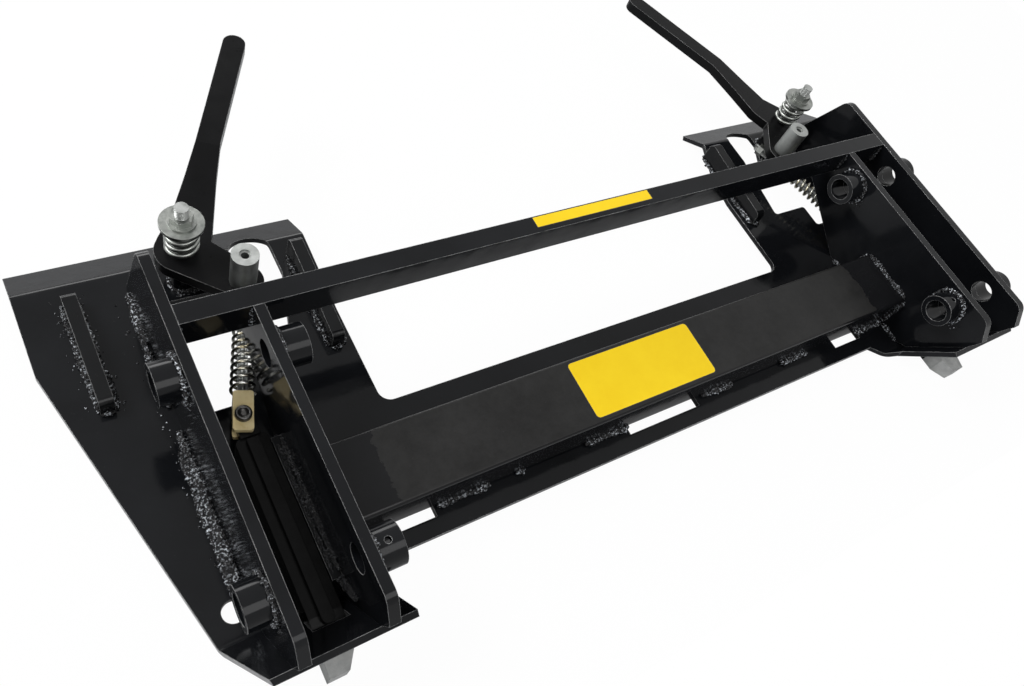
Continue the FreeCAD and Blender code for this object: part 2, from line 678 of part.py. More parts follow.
def lever_handle(body, sign):
    """The cranked handle bar in side view, trimmed to its plan outline."""
    flat, bend, end = "handle_flat_len", "handle_bend_len", "handle_len"
    sketch = new_sketch(body, "YZ_Plane")
    add_loop(sketch, [
        ("0", "0"),
        ("%s + 2" % flat, "0"),
        ("%s + 2" % bend, "handle_rise"),
        (end, "handle_tip_rise"),
        (end, "handle_tip_rise + lever_thick"),
        (bend, "handle_rise + lever_thick"),
        (flat, "lever_thick"),
        ("0", "lever_thick"),
    ])
    pad(body, sketch, "4 * lever_hub_radius", both=True)
    sketch = new_sketch(body, "XY_Plane")
    far = "4 * lever_hub_radius"
    beyond = "handle_len + 20"
    middle = "(handle_flat_len + handle_bend_len) / 2"
    add_loop(sketch, [
        (side(sign, "lever_hub_radius"), "-1"),
        (side(sign, "lever_hub_radius - 1"), "10"),
        (side(sign, "handle_root"), "handle_flat_len"),
        (side(sign, "(handle_root + handle_half) / 2 - 0.5"), middle),
        (side(sign, "handle_half"), "handle_bend_len"),
        (side(sign, "handle_half"), beyond),
        (side(sign, far), beyond),
        (side(sign, far), "-1"),
    ])
    add_loop(sketch, [
        (side(sign, "-lever_hub_radius"), "-1"),
        (side(sign, "-lever_hub_radius + 2"), "handle_flat_len * 0.6"),
        (side(sign, "-(handle_root + 2)"), "handle_flat_len + 8"),
        (side(sign, "-(handle_root + handle_half) / 2"), "%s + 5" % middle),
        (side(sign, "-handle_half + 1"), "handle_bend_len + 5"),
        (side(sign, "-handle_half + 1"), beyond),
        (side(sign, "-" + far), beyond),
        (side(sign, "-" + far), "-1"),
    ])
    cut(body, sketch)
    tips = [(side(sign, "handle_half"), end), (side(sign, "-handle_half + 1"), end)]
    round_at(body, 2, tips, "handle_half - handle_tip_flat")


def lever_arm(body, sign):
    """Round hub, round crank eye and the web between them."""
    eye_x = side(sign, "-crank_radius * sin(crank_angle + lever_lean)")
    eye_y = "-crank_radius * cos(crank_angle + lever_lean)"
    out_x = "cos(crank_angle + lever_lean)"
    out_y = "sin(crank_angle + lever_lean)"
    sketch = new_sketch(body, "XY_Plane")
    add_circle(sketch, ("0", "0"), "lever_hub_radius")
    pad(body, sketch, "lever_thick")
    sketch = new_sketch(body, "XY_Plane")
    add_circle(sketch, (eye_x, eye_y), "lever_eye_radius")
    pad(body, sketch, "lever_thick")
    web = []
    for way, radius, at_eye in ((1, "lever_hub_radius", 0), (1, "lever_eye_radius", 1),
                                (-1, "lever_eye_radius", 1), (-1, "lever_hub_radius", 0)):
        base = (eye_x, eye_y) if at_eye else ("0", "0")
        off_x = side(sign, "%s * %s" % (radius, out_x))
        off_y = "%s * %s" % (radius, out_y)
        sense = "+" if way < 0 else "-"
        other = "-" if way < 0 else "+"
        web.append(("%s %s (%s)" % (base[0], sense, off_x), "%s %s %s" % (base[1], other, off_y)))
    sketch = new_sketch(body, "XY_Plane")
    add_loop(sketch, web)
    pad(body, sketch, "lever_thick")
    sketch = new_sketch(body, "XY_Plane")
    add_circle(sketch, ("0", "0"), "stud_radius + run_gap")
    add_circle(sketch, (eye_x, eye_y), "swivel_neck_radius + run_gap")
    cut(body, sketch)


def make_lever(sign, name):
    where = (side(sign, "pivot_x"), "pivot_y", LEVER_Z)
    body = new_body("lever_" + name, where, side(sign, "lever_lean"))
    lever_handle(body, sign)
    lever_arm(body, sign)


def make_swivel(sign, name):
    """Tapped boss on top of the crank eye and the block under it."""
    spot = (side(sign, CRANK_X), CRANK_Y)
    turn = side(sign, LINK_ANGLE)
    head = new_body("swivel_boss_" + name, spot + (LEVER_TOP_Z,), turn)
    sketch = new_sketch(head, "XY_Plane", "run_gap")
    add_circle(sketch, ("0", "0"), "swivel_head_radius")
    pad(head, sketch, "swivel_head_height")
    sketch = new_sketch(head, "XY_Plane", "run_gap")
    add_circle(sketch, ("0", "0"), "swivel_neck_radius")
    pad(head, sketch, "lever_thick + 2 * run_gap", back=True)
    top = "run_gap + swivel_head_height"
    for radius, depth in (("swivel_tap_radius", "swivel_tap_depth"), ("swivel_sink_radius", "2")):
        sketch = new_sketch(head, "XY_Plane", top)
        add_circle(sketch, ("0", "0"), radius)
        cut(head, sketch, depth)
    block = new_body("swivel_block_" + name,
                     spot + ("%s - run_gap - swivel_block_height" % LEVER_Z,), turn)
    sketch = new_sketch(block, "XY_Plane")
    add_circle(sketch, ("0", "0"), "swivel_block_radius")
    pad(block, sketch, "swivel_block_height")
    middle = side(sign, "-rod_side_shift")
    half = "(rod_radius + rod_side_play + run_gap)"
    level = "link_z - (%s - run_gap - swivel_block_height)" % LEVER_Z
    sketch = new_sketch(block, "XZ_Plane")
    add_loop(sketch, box_loop("%s - %s" % (middle, half), "%s + %s" % (middle, half),
                              "%s - rod_radius - run_gap" % level,
                              "%s + rod_radius + run_gap" % level))
    cut(block, sketch)


def make_wedge(sign, name):
    body = new_body("wedge_" + name, (side(sign, "wedge_x"), "0", "0"))
    outer, inner = side(sign, "wedge_half"), side(sign, "-wedge_half")
    sketch = new_sketch(body, "XY_Plane", WEDGE_Z)
    add_loop(sketch, [
        (inner, SHOULDER_Y),
        (outer, SHOULDER_Y),
        (outer, "wedge_tip_y"),
        (side(sign, "-wedge_half + wedge_bevel"), "wedge_tip_y"),
        (inner, "wedge_tip_y + wedge_bevel_len"),
    ])
    pad(body, sketch, "wedge_thick")
    round_at(body, 2, [(inner, SHOULDER_Y), (outer, SHOULDER_Y)], "wedge_half * 0.35")
    sketch = new_sketch(body, "YZ_Plane")
    add_loop(sketch, [
        ("wedge_tip_y + wedge_taper_len", WEDGE_TOP_Z),
        ("wedge_tip_y - 1", "%s + wedge_tip_thick" % WEDGE_Z),
        ("wedge_tip_y - 1", "%s + 1" % WEDGE_TOP_Z),
        ("wedge_tip_y + wedge_taper_len", "%s + 1" % WEDGE_TOP_Z),
    ])
    cut(body, sketch)
    sketch = new_sketch(body, "XY_Plane", WEDGE_TOP_Z)
    rib_low = "wedge_rib_low_y"
    rib_top = "%s - 4" % SHOULDER_Y
    rib = box_loop("-wedge_rib_half", "wedge_rib_half", rib_low, rib_top)
    add_loop(sketch, rib)
    pad(body, sketch, "wedge_rib_height")
    round_at(body, 2, rib[0:2], "wedge_rib_half * 0.9")
    sketch = new_sketch(body, "XY_Plane", "link_z - tongue_thick / 2")
    add_loop(sketch, box_loop("-tongue_half", "tongue_half", "%s - 1" % SHOULDER_Y, "wedge_pin_y"))
    pad(body, sketch, "tongue_thick")
    sketch = new_sketch(body, "XY_Plane", "link_z - tongue_thick / 2")
    add_circle(sketch, ("0", "wedge_pin_y"), "tongue_half")
    pad(body, sketch, "tongue_thick")
    sketch = new_sketch(body, "XY_Plane")
    add_circle(sketch, ("0", "wedge_pin_y"), "clevis_pin_radius + run_gap")
    cut(body, sketch)


def make_clevis(where, turn, name):
    body = new_body("clevis_" + name, where, turn)
    sketch = new_sketch(body, "XY_Plane")
    outline = box_loop("-clevis_half", "clevis_half", "-clevis_foot", "clevis_top")
    add_loop(sketch, outline)
    pad(body, sketch, "clevis_depth", both=True)
    round_at(body, 2, outline, "clevis_half * 0.3")
    sketch = new_sketch(body, "YZ_Plane")
    add_loop(sketch, box_loop("-clevis_foot - 1", "clevis_slot_top",
                              "-tongue_thick / 2 - run_gap", "tongue_thick / 2 + run_gap"))
    cut(body, sketch)
    sketch = new_sketch(body, "XY_Plane")
    add_circle(sketch, ("0", "0"), "clevis_pin_radius + thread_gap")
    cut(body, sketch)
    pin = new_body("clevis_pin_" + name, where, turn)
    sketch = new_sketch(pin, "XY_Plane")
    add_circle(sketch, ("0", "0"), "clevis_pin_radius")
    pad(pin, sketch, "clevis_depth + 2 * clevis_pin_out", both=True)
    sketch = new_sketch(pin, "XY_Plane", "clevis_depth / 2")
    add_circle(sketch, ("0", "0"), "clevis_head_radius")
    pad(pin, sketch, "clevis_head_thick")


def make_link(sign, name):
    """Clevis, pin, rod and rod nut, in a frame along the link."""
    where = (side(sign, "wedge_x"), "wedge_pin_y", "link_z")
    turn = side(sign, LINK_ANGLE)
    make_clevis(where, turn, name)
    rod = new_body("link_rod_" + name, where, turn)
    nut_low = "(%s + swivel_block_radius + rod_end_gap)" % LINK_LEN
    sketch = new_sketch(rod, "XZ_Plane", "-clevis_top")
    add_circle(sketch, ("0", "0"), "rod_radius")
    pad(rod, sketch, "%s + rod_nut_height + rod_tail - clevis_top" % nut_low, back=True)
    nut = new_body("rod_nut_" + name, where, turn)
    sketch = new_sketch(nut, "XZ_Plane", "-%s" % nut_low)
    add_loop(sketch, hexagon("rod_nut_flats"))
    add_circle(sketch, ("0", "0"), "rod_radius + thread_gap")
    pad(nut, sketch, "rod_nut_height", back=True)
    spring_len = "%s - swivel_block_radius - run_gap - %s" % (LINK_LEN, SPRING_LOW)
    spring = coil("link_spring_" + name, where, turn, "link_spring_radius", "link_wire",
                  "link_turns", SPRING_LOW, spring_len, True)
    rise = "(%s - link_wire)" % spring_len
    slope = "-atan((link_spring_radius - link_spring_top) / %s)" % rise
    bind(spring.Spine[0], "Angle", slope)


def coil(label, where, turn, radius, wire, turns, low, length, along_y):
    """A round wire swept along a helix between two flat ends."""
    helix = doc.addObject("Part::Helix", "Helix_" + label)
    sizes = {
        "Radius": "%s - %s / 2" % (radius, wire),
        "Pitch": "(%s - %s) / %s" % (length, wire, turns),
        "Height": "%s - %s" % (length, wire),
    }
    for prop, text in sizes.items():
        setattr(helix, prop, val(text))
        bind(helix, prop, text)
    helix.SegmentLength = 1.0
    circle = doc.addObject("Part::Circle", "Wire_" + label)
    bind(circle, "Radius", "%s / 2" % wire)
    bind(circle, "Placement.Base.x", "%s - %s / 2" % (radius, wire))
    circle.Placement.Rotation = FreeCAD.Rotation(FreeCAD.Vector(1, 0, 0), 90)
    sweep = doc.addObject("Part::Sweep", label)
    sweep.Sections = [circle]
    sweep.Spine = helix
    sweep.Solid = True
    sweep.Frenet = True
    sweep.Label = label
    start = val("%s + %s / 2" % (low, wire))
    base = FreeCAD.Placement(FreeCAD.Vector(*[val(text) for text in where]),
                             FreeCAD.Rotation(FreeCAD.Vector(0, 0, 1), val(turn) if turn else 0.0))
    if along_y:
        lay = FreeCAD.Placement(FreeCAD.Vector(0, start, 0),
                                FreeCAD.Rotation(FreeCAD.Vector(1, 0, 0), -90))
    else:
        lay = FreeCAD.Placement(FreeCAD.Vector(0, 0, start), FreeCAD.Rotation())
    sweep.Placement = base.multiply(lay)
    PARTS.append(sweep)
    return sweep


def make_side(sign, name):
    """Everything that moves on one side, with its springs."""
    make_post(sign, name)
    make_lever(sign, name)
    make_swivel(sign, name)
    make_wedge(sign, name)
    make_link(sign, name)
    coil("pivot_spring_" + name, (side(sign, "pivot_x"), "pivot_y", LEVER_TOP_Z), None,
         "pivot_spring_radius", "pivot_wire", "pivot_turns", "run_gap", "pivot_spring_len", False)


def check_all():
    """Stop if any object failed or any shape is not a sound solid."""
    for thing in doc.Objects:
        if "Invalid" in thing.State or "Error" in thing.State:
            raise RuntimeError("%s failed: %s" % (thing.Label, thing.State))
    for thing in PARTS:
        shape = thing.Shape
        if shape.isNull() or not shape.isValid() or not shape.Solids:
            raise RuntimeError("%s has no sound shape" % thing.Label)


make_plate()
make_ears()
make_bosses()
make_bars()
make_ribs_and_guides()
make_side(1, "right")
make_side(-1, "left")
doc.recompute()
check_all()
os.makedirs("parts", exist_ok=True)
for piece in PARTS:
    piece.Shape.exportStep("parts/%s.step" % piece.Label)
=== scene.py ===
import math
import random

import bmesh
import bpy
from mathutils import Matrix, Vector

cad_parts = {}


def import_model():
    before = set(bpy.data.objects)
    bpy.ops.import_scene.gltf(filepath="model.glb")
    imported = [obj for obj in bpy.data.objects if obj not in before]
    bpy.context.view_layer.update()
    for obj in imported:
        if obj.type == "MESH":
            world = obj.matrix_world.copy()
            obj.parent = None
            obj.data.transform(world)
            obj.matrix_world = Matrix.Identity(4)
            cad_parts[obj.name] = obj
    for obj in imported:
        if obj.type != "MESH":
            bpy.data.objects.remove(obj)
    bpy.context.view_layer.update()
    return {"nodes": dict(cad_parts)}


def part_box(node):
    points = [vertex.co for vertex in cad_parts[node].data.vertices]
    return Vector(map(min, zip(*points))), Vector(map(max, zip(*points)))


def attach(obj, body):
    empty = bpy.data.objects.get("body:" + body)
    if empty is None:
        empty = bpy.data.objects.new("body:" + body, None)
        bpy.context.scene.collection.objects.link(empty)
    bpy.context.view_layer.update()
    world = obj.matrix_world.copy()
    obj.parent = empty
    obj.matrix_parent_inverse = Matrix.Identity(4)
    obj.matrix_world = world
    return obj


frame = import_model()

MM = 0.001


# ---------------------------------------------------------------- materials

def new_material(name):
    """A material with its node tree, its shader and the object coordinates."""
    material = bpy.data.materials.new(name)
    material.use_nodes = True
    tree = material.node_tree
    coords = tree.nodes.new("ShaderNodeTexCoord").outputs["Object"]
    return material, tree, tree.nodes["Principled BSDF"], coords


def node(tree, kind, **values):
    made = tree.nodes.new(kind)
    for key, value in values.items():
        setattr(made, key, value)
    return made


def noise(tree, coords, scale, detail=4.0, rough=0.6):
    made = node(tree, "ShaderNodeTexNoise")
    made.inputs["Scale"].default_value = scale
    made.inputs["Detail"].default_value = detail
    made.inputs["Roughness"].default_value = rough
    tree.links.new(coords, made.inputs["Vector"])
    return made.outputs["Fac"]


def ramp(tree, value, stops):
    """A colour ramp; each stop is a place with a grey level or a colour."""
    made = node(tree, "ShaderNodeValToRGB")
    elements = made.color_ramp.elements
    for index, (spot, shade) in enumerate(stops):
        element = elements[index] if index < 2 else elements.new(spot)
        element.position = spot
        colour = shade if isinstance(shade, tuple) else (shade, shade, shade)
        element.color = (*colour, 1.0)
    tree.links.new(value, made.inputs["Fac"])
    return made.outputs["Color"]


def maths(tree, operation, first, second=0.5):
    made = node(tree, "ShaderNodeMath", operation=operation)
    for index, source in enumerate((first, second)):
        if isinstance(source, (int, float)):
            made.inputs[index].default_value = source
        else:
            tree.links.new(source, made.inputs[index])
    return made.outputs[0]


def mix_colour(tree, factor, first, second):
    made = node(tree, "ShaderNodeMix", data_type="RGBA")
    tree.links.new(factor, made.inputs["Factor"])
    for socket, source in ((made.inputs[6], first), (made.inputs[7], second)):
        if isinstance(source, tuple):
            socket.default_value = (*source, 1.0)
        else:
            tree.links.new(source, socket)
    return made.outputs[2]


def axes(tree, coords):
    split = node(tree, "ShaderNodeSeparateXYZ")
    tree.links.new(coords, split.inputs[0])
    return split.outputs


def rounded(tree, radius):
    """The normal of an edge rounded by the radius."""
    bevel = node(tree, "ShaderNodeBevel", samples=4)
    bevel.inputs["Radius"].default_value = radius
    return bevel.outputs["Normal"]


def edge_mask(tree, round_normal):
    """Above 0 on sharp edges, 0 on flats."""
    geometry = node(tree, "ShaderNodeNewGeometry")
    dot = node(tree, "ShaderNodeVectorMath", operation="DOT_PRODUCT")
    tree.links.new(round_normal, dot.inputs[0])
    tree.links.new(geometry.outputs["Normal"], dot.inputs[1])
    return maths(tree, "SUBTRACT", 1.0, dot.outputs["Value"])


def bump(tree, height, strength, distance, normal=None):
    made = node(tree, "ShaderNodeBump")
    made.inputs["Strength"].default_value = strength
    made.inputs["Distance"].default_value = distance
    tree.links.new(height, made.inputs["Height"])
    if normal is not None:
        tree.links.new(normal, made.inputs["Normal"])
    return made.outputs["Normal"]


PAINT_EDGE = 0.0009
# light metal colour for the edges: partly wear, partly a painted highlight along the edges
EDGE_WEAR_AND_HIGHLIGHT_COLOUR = (0.62, 0.62, 0.61)
SPECK_WEAR = 0.02
DULL_FRONT = -0.0575                    # the dull patch stays off the beam's lower face
DULL_COLOURS = ((0.36, (0.011, 0.0108, 0.0105)), (0.66, (0.021, 0.0207, 0.0202)))


def dull_patch(tree, coords, dust, half):
    """1 on the middle of the beam, up to a ragged line at each end."""
    place = axes(tree, coords)
    reach = maths(tree, "ADD", maths(tree, "ABSOLUTE", place["X"]),
                  maths(tree, "MULTIPLY", dust, 0.03))
    return maths(tree, "MULTIPLY", maths(tree, "LESS_THAN", reach, half),
                 maths(tree, "GREATER_THAN", place["Y"], DULL_FRONT))


def paint_material(name, colour, roughness, grain, edge_wear_and_highlight, dull_half=None, ior=1.25):
    """Black paint with orange peel and dust specks; the light metal colour on sharp edges is
    partly wear and partly a painted edge highlight.
    """
    material, tree, shader, coords = new_material(name)
    round_normal = rounded(tree, PAINT_EDGE)
    mask = edge_mask(tree, round_normal)
    cloud = noise(tree, coords, 9.0, 5.0)
    dust = noise(tree, coords, 34.0, 8.0, 0.75)
    specks = ramp(tree, noise(tree, coords, 240.0, 3.0, 0.8), ((0.68, 0), (0.74, 1)))
    # sharp edges get light metal colour, partly wear and partly a painted highlight where the
    # edges catch light
    wear_and_edge_highlight = maths(tree, "MULTIPLY", ramp(tree, mask, ((0.015, 0), (0.16, 1))),
                 ramp(tree, dust, ((0.34, 0.1), (0.58, 1))))
    wear_and_edge_highlight = maths(tree, "MULTIPLY", wear_and_edge_highlight, edge_wear_and_highlight)
    wear_and_edge_highlight = maths(tree, "ADD", wear_and_edge_highlight, maths(tree, "MULTIPLY", specks, SPECK_WEAR))
    lighter = tuple(part * 2.0 + 0.002 for part in colour)
    base = ramp(tree, cloud, ((0.3, colour), (0.75, lighter)))
    rough = ramp(tree, dust, ((0.3, roughness[0]), (0.8, roughness[1])))
    if dull_half:
        middle = dull_patch(tree, coords, dust, dull_half)
        streaks = noise(tree, coords, 22.0, 9.0, 0.8)
        base = mix_colour(tree, middle, base, ramp(tree, streaks, DULL_COLOURS))
        rough = mix_colour(tree, middle, rough, ramp(tree, streaks, ((0.3, 0.30), (0.7, 0.46))))
    tree.links.new(mix_colour(tree, wear_and_edge_highlight, base, EDGE_WEAR_AND_HIGHLIGHT_COLOUR), shader.inputs["Base Color"])
    tree.links.new(rough, shader.inputs["Roughness"])
    shader.inputs["IOR"].default_value = ior
    height = maths(tree, "ADD", maths(tree, "MULTIPLY", noise(tree, coords, 70.0, 3.0), 0.35),
                   maths(tree, "MULTIPLY", noise(tree, coords, 16.0, 2.0), 3.0))
    tree.links.new(bump(tree, height, grain, 0.0009, round_normal), shader.inputs["Normal"])
    return material


def weld_material(name, painted_glint_amount):
    """Black gloss over rough weld metal, with glints painted as bright near-white spots in the
    base colour.
    """
    material, tree, shader, coords = new_material(name)
    fine = noise(tree, coords, 430.0, 2.0, 0.7)
    lumps = noise(tree, coords, 260.0, 5.0, 0.6)
    painted_glints = ramp(tree, fine, ((0.55, 0), (0.605, 1)))
    patches = ramp(tree, noise(tree, coords, 42.0, 4.0), ((0.38, 0.15), (0.58, 1)))
    painted_glint_share = maths(tree, "MULTIPLY", maths(tree, "MULTIPLY", painted_glints, patches), painted_glint_amount)
    # painted highlight: near-white colour in small spots stands in for glints
    tree.links.new(mix_colour(tree, painted_glint_share, (0.006, 0.006, 0.007), (0.86, 0.90, 0.95)),
                   shader.inputs["Base Color"])
    tree.links.new(ramp(tree, fine, ((0.3, 0.07), (0.7, 0.25))), shader.inputs["Roughness"])
    height = maths(tree, "ADD", fine, maths(tree, "MULTIPLY", lumps, 2.5))
    tree.links.new(bump(tree, height, 1.0, 0.0022), shader.inputs["Normal"])
    shader.inputs["IOR"].default_value = 1.45
    return material


THREAD_PITCH = 0.0018


def zinc_material(name, low, high, rough, thread=False, tint=None, metal=1.0):
    """Plated or bare metal, clouded between two colours."""
    material, tree, shader, coords = new_material(name)
    cloud = noise(tree, coords, 90.0, 6.0, 0.65)
    base = ramp(tree, cloud, ((0.3, low), (0.72, high)))
    if tint:
        stain = ramp(tree, noise(tree, coords, 45.0, 4.0), ((0.45, 0), (0.65, 1)))
        base = mix_colour(tree, stain, base, tint)
    tree.links.new(base, shader.inputs["Base Color"])
    shader.inputs["Metallic"].default_value = metal
    tree.links.new(ramp(tree, cloud, ((0.2, rough), (0.8, rough + 0.18))),
                   shader.inputs["Roughness"])
    normal = bump(tree, noise(tree, coords, 420.0, 4.0), 0.25, 0.0003, rounded(tree, 0.0005))
    if thread:
        turns = maths(tree, "MULTIPLY", axes(tree, coords)["Z"], 2 * math.pi / THREAD_PITCH)
        normal = bump(tree, maths(tree, "SINE", turns), 0.9, 0.0007, normal)
    tree.links.new(normal, shader.inputs["Normal"])
    return material


BARE_BELOW = -0.1235                    # the wedge is bare steel below this Y, give or take


def wedge_material():
    """Painted bar whose lower end is bare, light steel."""
    material, tree, shader, coords = new_material("wedge paint and bare tip")
    wander = maths(tree, "MULTIPLY", noise(tree, coords, 60.0), 0.012)
    line = maths(tree, "ADD", axes(tree, coords)["Y"], wander)
    bare = maths(tree, "LESS_THAN", line, BARE_BELOW)
    dust = noise(tree, coords, 60.0, 8.0, 0.7)
    steel = ramp(tree, dust, ((0.3, (0.30, 0.30, 0.29)), (0.7, (0.52, 0.52, 0.50))))
    black = ramp(tree, dust, ((0.3, 0.0028), (0.8, 0.008)))
    tree.links.new(mix_colour(tree, bare, black, steel), shader.inputs["Base Color"])
    rough = maths(tree, "ADD", maths(tree, "MULTIPLY", bare, 0.27), 0.19)
    tree.links.new(rough, shader.inputs["Roughness"])
    tree.links.new(bump(tree, dust, 0.3, 0.0005, rounded(tree, 0.0008)), shader.inputs["Normal"])
    shader.inputs["IOR"].default_value = 1.16
    return material


def label_material():
    material, tree, shader, coords = new_material("yellow label film")
    cloud = noise(tree, coords, 30.0, 3.0)
    base = ramp(tree, cloud, ((0.3, (0.83, 0.56, 0.010)), (0.75, (0.88, 0.62, 0.016))))
    tree.links.new(base, shader.inputs["Base Color"])
    tree.links.new(ramp(tree, cloud, ((0.2, 0.3), (0.8, 0.42))), shader.inputs["Roughness"])
    tree.links.new(bump(tree, noise(tree, coords, 220.0), 0.08, 0.0003), shader.inputs["Normal"])
    shader.inputs["IOR"].default_value = 1.3
    return material


def border_material():
    material, tree, shader, coords = new_material("label border print")
    cloud = noise(tree, coords, 80.0, 3.0)
    base = ramp(tree, cloud, ((0.3, (0.012, 0.012, 0.014)), (0.75, (0.03, 0.03, 0.034))))
    tree.links.new(base, shader.inputs["Base Color"])
    shader.inputs["Roughness"].default_value = 0.38
    return material


PAINT = paint_material("gloss black paint", (0.0032, 0.0035, 0.0042), (0.06, 0.17), 0.22, 0.9)
BEAM = paint_material("beam paint", (0.0040, 0.0041, 0.0046), (0.07, 0.17), 0.14, 0.8,
                      dull_half=0.345)
DULL = paint_material("satin black paint", (0.0030, 0.0030, 0.0032), (0.24, 0.38), 0.3, 0.75,
                      ior=1.16)
ROUGH = paint_material("cast black paint", (0.0028, 0.0030, 0.0034), (0.07, 0.22), 0.8, 0.6)
# weld beads with painted glints; the black beads get only a trace of the painted glints
WELD = weld_material("weld bead with painted glints", 1.0)
WELD_BLACK = weld_material("black weld bead", 0.045)
ZINC = zinc_material("bright zinc", (0.17, 0.18, 0.17), (0.36, 0.37, 0.35), 0.26)
THREAD = zinc_material("zinc thread", (0.26, 0.27, 0.26), (0.46, 0.47, 0.46), 0.24, thread=True)
SATIN = zinc_material("satin turned steel", (0.26, 0.27, 0.26), (0.39, 0.40, 0.39), 0.38)
SPRING = zinc_material("zinc spring wire", (0.30, 0.31, 0.29), (0.62, 0.62, 0.58), 0.14,
                       tint=(0.44, 0.39, 0.26))
YELLOW = zinc_material("yellow zinc", (0.78, 0.62, 0.30), (0.94, 0.80, 0.48), 0.3,
                       tint=(0.70, 0.54, 0.24), metal=0.0)
DARK = zinc_material("dark oiled steel", (0.05, 0.05, 0.05), (0.13, 0.125, 0.12), 0.3)
WEDGE = wedge_material()
LABEL = label_material()
BORDER = border_material()

# The first row whose start fits a node's name gives its material; all others are PAINT.
CAD_MATERIALS = (
    (("lower_beam",), BEAM),
    (("lever",), DULL),
    (("pivot_stud", "link_rod"), THREAD),
    (("cap_washer", "pivot_nut", "pivot_spring", "base_washer", "rod_nut"), ZINC),
    (("swivel_boss",), SATIN),
    (("link_spring",), SPRING),
    (("clevis_pin",), DARK),
    (("clevis",), YELLOW),
    (("wedge",), WEDGE),
    (("outer_rib", "inner_rib", "outer_guide", "inner_guide", "pivot_post"), ROUGH),
)


def cad_material(name):
    for starts, material in CAD_MATERIALS:
        if name.startswith(starts):
            return material
    return PAINT


for name, thing in frame["nodes"].items():
    thing.data.materials.clear()
    thing.data.materials.append(cad_material(name))


# ------------------------------------------------------------------ pieces

def make_object(name, bm, material, body, smooth=True):
    mesh = bpy.data.meshes.new(name)
    bm.to_mesh(mesh)
    bm.free()
    mesh.materials.append(material)
    if smooth:
        mesh.shade_smooth()
    made = bpy.data.objects.new(name, mesh)
    bpy.context.scene.collection.objects.link(made)
    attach(made, body)


def bead_ring(bm, centre, across, up, radius, rng, sides):
    """One lumpy cross-section of a weld bead."""
    ring = []
    for k in range(sides):
        turn = 2 * math.pi * k / sides
        reach = radius * (1 + rng.uniform(-0.22, 0.22))
        spot = centre + across * (reach * math.cos(turn)) + up * (reach * math.sin(turn))
        ring.append(bm.verts.new(spot))
    return ring


RIPPLE = 5.2                            # from one ripple of a bead to the next, in mm


def bead(bm, start, end, radius, rng, sides=9, pitch=1.3):
    """A weld bead between two points, in millimetres, with ripples and lumps."""
    start, end = Vector(start), Vector(end)
    along = end - start
    length = along.length
    along.normalize()
    across = along.orthogonal().normalized()
    up = along.cross(across)
    count = max(3, int(length / pitch))
    rings = []
    swell = rng.uniform(0, 6.28)
    for i in range(count + 1):
        far = i / count
        size = radius * (0.82 + 0.16 * math.sin(2 * math.pi * far * length / RIPPLE + swell))
        size *= 0.9 + 0.2 * math.sin(far * length * 0.11 + swell)
        size *= min(1.0, 0.35 + 6 * min(far, 1 - far) * length / max(length, 8 * radius))
        drift = across * rng.uniform(-0.3, 0.3) + up * rng.uniform(-0.3, 0.3)
        centre = (start + along * (far * length) + drift) * MM
        rings.append(bead_ring(bm, centre, across, up, size * MM, rng, sides))
    for low, high in zip(rings, rings[1:]):
        for k in range(sides):
            j = (k + 1) % sides
            bm.faces.new((low[k], low[j], high[j], high[k]))
    bm.faces.new(list(reversed(rings[0])))
    bm.faces.new(rings[-1])


LOOP_STEPS = 20


def bead_loop(bm, centre, normal, reach, radius, rng):
    """Short beads round a boss or post."""
    normal = Vector(normal)
    first = normal.orthogonal().normalized()
    second = normal.cross(first)
    spots = []
    for i in range(LOOP_STEPS + 1):
        turn = math.radians(360.0 * i / LOOP_STEPS)
        spots.append(Vector(centre) + first * (reach * math.cos(turn))
                     + second * (reach * math.sin(turn)))
    for a, b in zip(spots, spots[1:]):
        over = (b - a).normalized() * (radius * 0.4)
        bead(bm, a - over, b + over, radius, rng, 8, 1.4)


def blobs(bm, spots, rng):
    """Spatter: small lumps sunk into the surface."""
    for centre, size in spots:
        made = bmesh.ops.create_icosphere(bm, subdivisions=1, radius=size * MM)
        for vert in made["verts"]:
            vert.co *= 1 + rng.uniform(-0.25, 0.25)
            vert.co += Vector(centre) * MM


# Places in the shared frame, in millimetres, for the right side where a side has its own.
SIDES = (-1, 1)                         # left, right
PLATE = 6.35                            # rear face of the main plate
OUTER_FAR, OUTER_NEAR = 467.7, 457.7    # the two faces of the outer ear
INNER_FAR, INNER_NEAR = 396.5, 386.5    # the two faces of the inner ear
PIN, PIN_Z = 97.0, 98.85                # pin axes: Y up and down, and Z
RIB_OUT, RIB_IN = 519.5, 302.5
POST_X, POST_Y = 417, 248.5
BAR_LOW, BAR_HIGH = 129.6, 150.6        # weld lines along the cross bar's ends
BEAM_TOP = 57.15
BAR_TOP = 124.85
STITCH_Y = -60.6


def side_beads(bm, g, rng):
    """All beads along the ears of one side; g is 1 on the right and -1 on the left."""
    out = g * (OUTER_FAR + 1.5)
    bead(bm, (out, 247, PLATE + 1), (out, 188, PLATE + 2), 4.6, rng, 11)
    bead(bm, (out + g * 2, 180, PLATE + 2), (out + g * 2, 118, PLATE + 3), 6.2, rng, 12)
    bead(bm, (out + g, 240, PLATE + 1), (out + g * 3, 128, PLATE + 1), 4.4, rng, 10)
    bead(bm, (out + g * 2, 92, PLATE + 3), (out + g * 2, -94, PLATE + 3), 7.4, rng, 13)
    bead(bm, (out + g * 7, 74, PLATE), (out + g * 7, -88, PLATE), 5.4, rng, 11)
    inner = g * (INNER_NEAR - 1)
    bead(bm, (inner, 44, PLATE + 1), (inner, 20, PLATE + 1), 3.8, rng)
    bead(bm, (inner, -62, PLATE + 1), (inner, -92, PLATE + 1), 4.4, rng)


